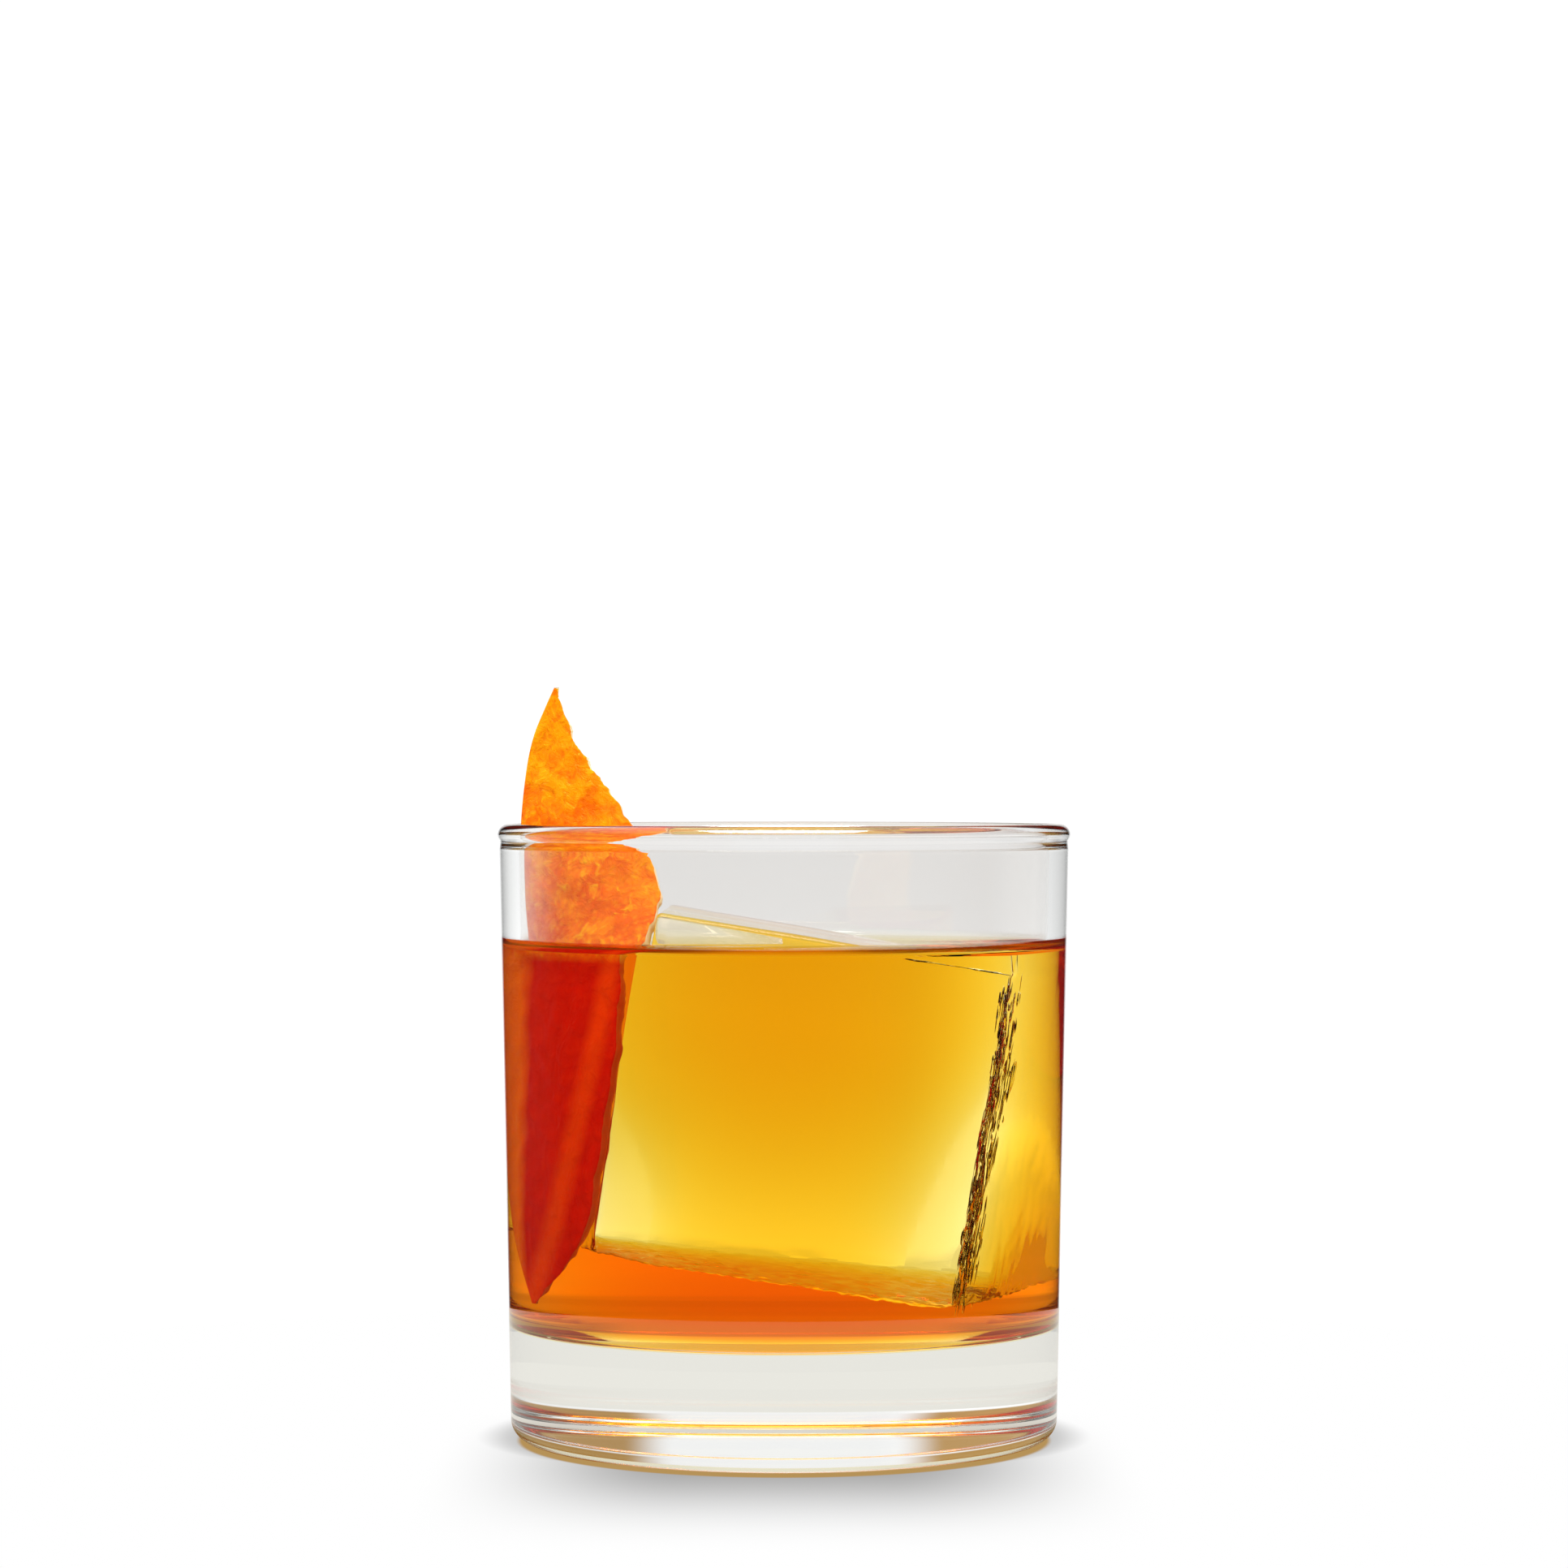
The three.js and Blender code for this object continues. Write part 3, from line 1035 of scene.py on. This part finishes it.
@dataclass
class Drink:
    """The liquid: it fills the glass to its level, wets the wall and closes round the ice."""

    level: float = DRINK_LEVEL
    capillary_length: float = 1.3
    contact_slope: float = 80.0
    slopes: int = 24
    slope_ratio: float = 0.84
    wetting: float = 0.15
    ice_overlap: float = 0.12
    crease_deg: float = 35.0
    touch: float = 0.01
    steps: int = 256

    @property
    def contact(self) -> float:
        """How high the liquid reaches on the wall."""
        return self.level + self.rise(math.radians(self.contact_slope))

    def rise(self, slope: float) -> float:
        """How high over its level the surface is where it has a slope, in radians."""
        return 2 * self.capillary_length * math.sin(slope / 2)

    def away(self, slope: float) -> float:
        """How far out the surface has a slope, in radians, from where it would stand upright."""
        return self.capillary_length * (math.log(math.tan(slope / 4)) + 2 * math.cos(slope / 2))

    def surface(self, wall: float) -> list[Point]:
        """Profile of the liquid's surface, from the wall to the axis, as capillary pull shapes it.

        Args:
            wall: The wall's radius where the liquid ends on it.

        Returns:
            The profile.
        """
        steepest = math.radians(self.contact_slope)
        slopes = [steepest * self.slope_ratio**i for i in range(self.slopes)]
        start = self.away(steepest)
        rim = [(wall - start + self.away(slope), self.level + self.rise(slope)) for slope in slopes]
        return [*rim, (0.0, self.level)]

    def build(self, glass: RocksGlass, ice: IceBlock, finish: BourbonLiquid) -> bpy.types.Object:
        """Make the drink.

        Args:
            glass: What holds it.
            ice: What floats in it.
            finish: What it is.

        Returns:
            The piece.
        """
        wall = glass.inner_radius(self.contact)
        profile = [*glass.inside(self.contact, -self.wetting), *self.surface(wall)]
        piece = make_piece("bourbon_fill", revolve(profile, self.steps))
        space = ice.body(self.ice_overlap, ice.melt_water, self.level - ice.film_over)
        cutter = make_piece("ice_space", space, crease_deg=180)
        cut = piece.modifiers.new("ice_space", "BOOLEAN")
        cut.operation = "DIFFERENCE"
        cut.solver = "EXACT"
        cut.object = cutter
        apply_modifiers(piece)
        bpy.data.objects.remove(cutter)
        piece.data.shade_smooth()
        piece.data.set_sharp_from_angle(angle=math.radians(self.crease_deg))
        bends = piece.data.attributes.new(Meets.__name__, "FLOAT", "FACE")
        values = [self.meets(face.center / MM, glass).value for face in piece.data.polygons]
        bends.data.foreach_set("value", values)
        install(piece, "drink", "amber_drink", finish.material())
        return piece

    def meets(self, point: Vector, glass: RocksGlass) -> Meets:
        """Tell what a face of the drink touches.

        Args:
            point: The face's middle, in millimetres.
            glass: What holds the drink.

        Returns:
            What it touches.
        """
        wall = glass.inner_radius(point.z)
        radius = math.hypot(point.x, point.y)
        if radius < wall and point.z > self.level - self.touch:
            return Meets.AIR
        below = point.z < glass.floor_height + glass.floor_corner
        return Meets.GLASS if radius > wall - self.touch or below else Meets.ICE


@dataclass
class Studio:
    """A white sweep with a bright field behind the glass and a softbox over it, and the camera.

    What stands in front of the glass and beside it is dimmer, so that the glass and the drink mirror
    little, and their colours stay clear. Matte things are lit from all round. The floor's changes
    run over millimetres, and the light's over the parts of a direction of length 1.
    """

    camera_distance: float = 700.0
    camera_height: float = 98.0
    lens: float = 106.88
    sensor: float = 36.0
    nearest_seen: float = 10.0

    floor_radius: float = 180.0
    floor_steps: int = 96
    paper: str = WHITE
    # The floor's shadow, contact shade and warm contact line are painted into its own light.
    shade: str = "6E6C6A"
    shade_ahead: Change = Change(-115, -30)
    shade_falloff: float = 1.6
    shade_band: Change = Change(52, 14, 0.0, 0.72)
    shade_end: Change = Change(30, -20)
    contact_shade: Change = Change(47.5, 39.5, 0.0, 0.5)
    contact_glow: str = "B69258"
    glow_shift: float = 2.7
    glow_edge: Change = Change(40.2, 39.2)
    paper_through_glass: str = "EBE9E2"
    # Painted shadow and warm light of the floor near the foot, as seen through the glass.
    shadow_and_glow_through_glass: str = "86662F"
    shadow_and_glow_beside: Change = Change(6, 30, 0.2, 1.0)
    shadow_and_glow_near: Change = Change(48, 41.5)

    seen_directly: float = 1.05
    light_on_matte: float = 1.3
    light_through_glass: float = 1.0
    matte_from_above: Change = Change(-0.6, 0.9, 0.5, 1.6)
    field: Change = Change(-0.11, -0.015, 1.25, 0.92)
    field_foot: Change = Change(-0.083, -0.1)
    field_bottom: float = 0.92
    field_right: Change = Change(-0.2, -0.45, 1.0, 1.2)
    behind: Change = Change(0.2, 0.6)
    straight_behind: Change = Change(0.955, 0.99)
    before_and_beside: Change = Change(-0.5, -0.15, 0.45, 0.4)
    surroundings: float = 0.015
    overhead: Change = Change(0.35, 0.8)
    softbox: float = 1.6
    strip_height: Change = Change(0.74, 0.8)
    strip_ahead: Change = Change(-0.1, -0.2)
    strip_width: Change = Change(0.4, 0.3, 0.0, 90.0)
    low_glow: str = "B48C50"
    glow_rises: Change = Change(0.03, 0.09)
    glow_falls: Change = Change(0.4, 0.8, 1.0, 0.0)
    glow_sides: Change = Change(0.26, 0.42)

    clear_bounces: int = 36
    mirror_bounces: int = 12

    def build(self) -> None:
        """Set up the floor, the light and the camera."""
        self.make_floor()
        self.make_light()
        self.make_camera()

    def make_floor(self) -> None:
        """Lay a round of white paper that is lit from below; past it the set is as white.

        Its shade is painted into its own light: a painted shadow in front of the glass, as a light from
        behind would cast it, a painted contact shade round the foot and a painted thin warm line of light
        at the contact. Seen through the glass, painted shadow and warm light lie near the foot.
        """
        body = bmesh.new()
        radius = self.floor_radius * MM
        bmesh.ops.create_circle(body, cap_ends=True, segments=self.floor_steps, radius=radius)
        floor = make_piece("white_sweep", body)
        material = empty_material("lit_white_paper")
        tree = material.node_tree
        place = add_node(tree, "ShaderNodeTexCoord").outputs["Object"]
        axes = add_node(tree, "ShaderNodeSeparateXYZ", (place,)).outputs
        aside = add_node(tree, "ShaderNodeMath", (axes["X"],), operation="ABSOLUTE")
        reach = add_node(tree, "ShaderNodeVectorMath", (place,), operation="LENGTH")
        shifted = add_node(tree, "ShaderNodeVectorMath", (place, (0, self.glow_shift * MM, 0)))
        shifted_reach = add_node(tree, "ShaderNodeVectorMath", (shifted,), operation="LENGTH")
        ahead, band, end, contact, warm_line, beside, shadow_and_glow_mask = (
            add_node(tree, "ShaderNodeMapRange", (value, *change.in_mm()), interpolation_type="SMOOTHSTEP")
            for value, change in (
                (axes["Y"], self.shade_ahead),
                (aside, self.shade_band),
                (axes["Y"], self.shade_end),
                (reach, self.contact_shade),
                (shifted_reach, self.glow_edge),
                (aside, self.shadow_and_glow_beside),
                (reach, self.shadow_and_glow_near),
            )
        )
        # Painted shadow in front of the glass, and painted contact shade round its foot.
        front = add_node(tree, "ShaderNodeMath", (ahead, self.shade_falloff), operation="POWER")
        front = add_node(tree, "ShaderNodeMath", (front, band), operation="MULTIPLY")
        front = add_node(tree, "ShaderNodeMath", (front, end), operation="MULTIPLY")
        shade = add_node(tree, "ShaderNodeMath", (front, contact), operation="MAXIMUM")
        shadow_and_glow_mask = add_node(tree, "ShaderNodeMath", (shadow_and_glow_mask, beside), operation="MULTIPLY")
        camera_ray = add_node(tree, "ShaderNodeLightPath").outputs["Is Camera Ray"]
        paper, through = hex_linear(self.paper), hex_linear(self.paper_through_glass)
        glow, glow_through = hex_linear(self.contact_glow), hex_linear(self.shadow_and_glow_through_glass)
        inputs = {0: shade, 6: paper, 7: hex_linear(self.shade)}
        drawn = add_node(tree, "ShaderNodeMix", inputs, data_type="RGBA")
        # A painted thin warm line of light at the contact.
        drawn = add_node(tree, "ShaderNodeMix", {0: warm_line, 6: drawn, 7: glow}, data_type="RGBA")
        # Seen through the glass, the floor near the foot carries painted shadow and warm light, stronger at
        # the sides.
        inputs = {0: shadow_and_glow_mask, 6: through, 7: glow_through}
        refracted = add_node(tree, "ShaderNodeMix", inputs, data_type="RGBA")
        seen = add_node(tree, "ShaderNodeMix", {0: camera_ray, 6: refracted, 7: drawn}, data_type="RGBA")
        lit = add_node(tree, "ShaderNodeEmission", {"Color": seen, "Strength": 1.0})
        add_node(tree, "ShaderNodeOutputMaterial", {"Surface": lit})
        floor.data.materials.append(material)

    def make_light(self) -> None:
        """Light the set by its surroundings alone, each kind of ray by what it shows best."""
        world = bpy.data.worlds.new("soft_studio")
        bpy.context.scene.world = world
        world.use_nodes = True
        world.cycles.sampling_method = "NONE"
        tree = world.node_tree
        tree.nodes.clear()
        aim = add_node(tree, "ShaderNodeTexCoord").outputs["Generated"]
        axes = add_node(tree, "ShaderNodeSeparateXYZ", (aim,)).outputs
        across, back, up = axes["X"], axes["Y"], axes["Z"]
        beside = add_node(tree, "ShaderNodeMath", (across,), operation="ABSOLUTE")
        (
            field,
            foot,
            right,
            behind,
            straight,
            aside,
            overhead,
            high,
            ahead,
            narrow,
            above,
            rise,
            fall,
            wide,
        ) = (
            add_node(tree, "ShaderNodeMapRange", (value, *change), interpolation_type="SMOOTHSTEP")
            for value, change in (
                (up, self.field),
                (up, self.field_foot),
                (across, self.field_right),
                (back, self.behind),
                (back, self.straight_behind),
                (back, self.before_and_beside),
                (up, self.overhead),
                (up, self.strip_height),
                (back, self.strip_ahead),
                (beside, self.strip_width),
                (up, self.matte_from_above),
                (up, self.glow_rises),
                (up, self.glow_falls),
                (beside, self.glow_sides),
            )
        )
        ray = add_node(tree, "ShaderNodeLightPath").outputs
        field = add_node(tree, "ShaderNodeMix", {0: foot, 2: field, 3: self.field_bottom})
        field = add_node(tree, "ShaderNodeMath", (field, right), operation="MULTIPLY")
        through = add_node(tree, "ShaderNodeMix", {0: behind, 2: aside, 3: field})
        through = add_node(tree, "ShaderNodeMix", {0: overhead, 2: through, 3: self.softbox})
        strip = add_node(tree, "ShaderNodeMath", (ahead, narrow), operation="MULTIPLY")
        strip = add_node(tree, "ShaderNodeMath", (high, strip), operation="MULTIPLY")
        strip = add_node(tree, "ShaderNodeMath", (strip, self.softbox), operation="MAXIMUM")
        mirrored = add_node(tree, "ShaderNodeMix", {0: straight, 2: self.surroundings, 3: field})
        mirrored = add_node(tree, "ShaderNodeMix", {0: overhead, 2: mirrored, 3: strip})
        clear = add_node(tree, "ShaderNodeMix", {0: ray["Is Reflection Ray"], 2: through, 3: mirrored})
        inputs = {0: ray["Is Diffuse Ray"], 2: self.light_through_glass, 3: self.light_on_matte}
        matte = add_node(tree, "ShaderNodeMix", inputs)
        matte = add_node(tree, "ShaderNodeMath", (matte, above), operation="MULTIPLY")
        lit = add_node(tree, "ShaderNodeMix", {0: ray["Diffuse Depth"], 2: clear, 3: matte})
        strength = add_node(tree, "ShaderNodeMix", {0: ray["Is Camera Ray"], 2: lit, 3: self.seen_directly})
        warm = add_node(tree, "ShaderNodeMath", (rise, fall), operation="MULTIPLY")
        warm = add_node(tree, "ShaderNodeMath", (warm, wide), operation="MULTIPLY")
        warm = add_node(tree, "ShaderNodeMix", {0: ray["Is Transmission Ray"], 2: 0.0, 3: warm})
        warm = add_node(tree, "ShaderNodeMix", {0: ray["Diffuse Depth"], 2: warm, 3: 0.0})
        inputs = {0: warm, 6: hex_linear(WHITE), 7: hex_linear(self.low_glow)}
        colour = add_node(tree, "ShaderNodeMix", inputs, data_type="RGBA")
        light = add_node(tree, "ShaderNodeBackground", {"Color": colour, "Strength": strength})
        add_node(tree, "ShaderNodeOutputWorld", {"Surface": light})

    def make_camera(self) -> None:
        """Place the camera level, a little above the rim, and set what the rays may do."""
        scene = bpy.context.scene
        camera = bpy.data.objects.new("camera", bpy.data.cameras.new("camera"))
        scene.collection.objects.link(camera)
        camera.location = (0, -self.camera_distance * MM, self.camera_height * MM)
        camera.rotation_euler = (math.radians(90), 0, 0)
        camera.data.lens = self.lens
        camera.data.sensor_width = self.sensor
        camera.data.clip_start = self.nearest_seen * MM
        scene.camera = camera
        scene.view_settings.view_transform = "Standard"
        scene.cycles.max_bounces = self.clear_bounces
        scene.cycles.transmission_bounces = self.clear_bounces
        scene.cycles.glossy_bounces = self.mirror_bounces
        scene.cycles.blur_glossy = 0.0


def main() -> None:
    """Build the studio and the drink, piece by piece."""
    logging.basicConfig(level=logging.INFO)
    LOG.info("the packed model has %d nodes", len(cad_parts))
    Studio().build()
    glass = RocksGlass()
    ice = IceBlock()
    drink = Drink()
    glass.build(SodaLimeGlass(), drink.contact)
    ice.build(ClearIce(), drink.level)
    OrangeSwath().build(OrangeZest(), OrangePith())
    drink.build(glass, ice, BourbonLiquid())


if __name__ == "__main__":
    main()
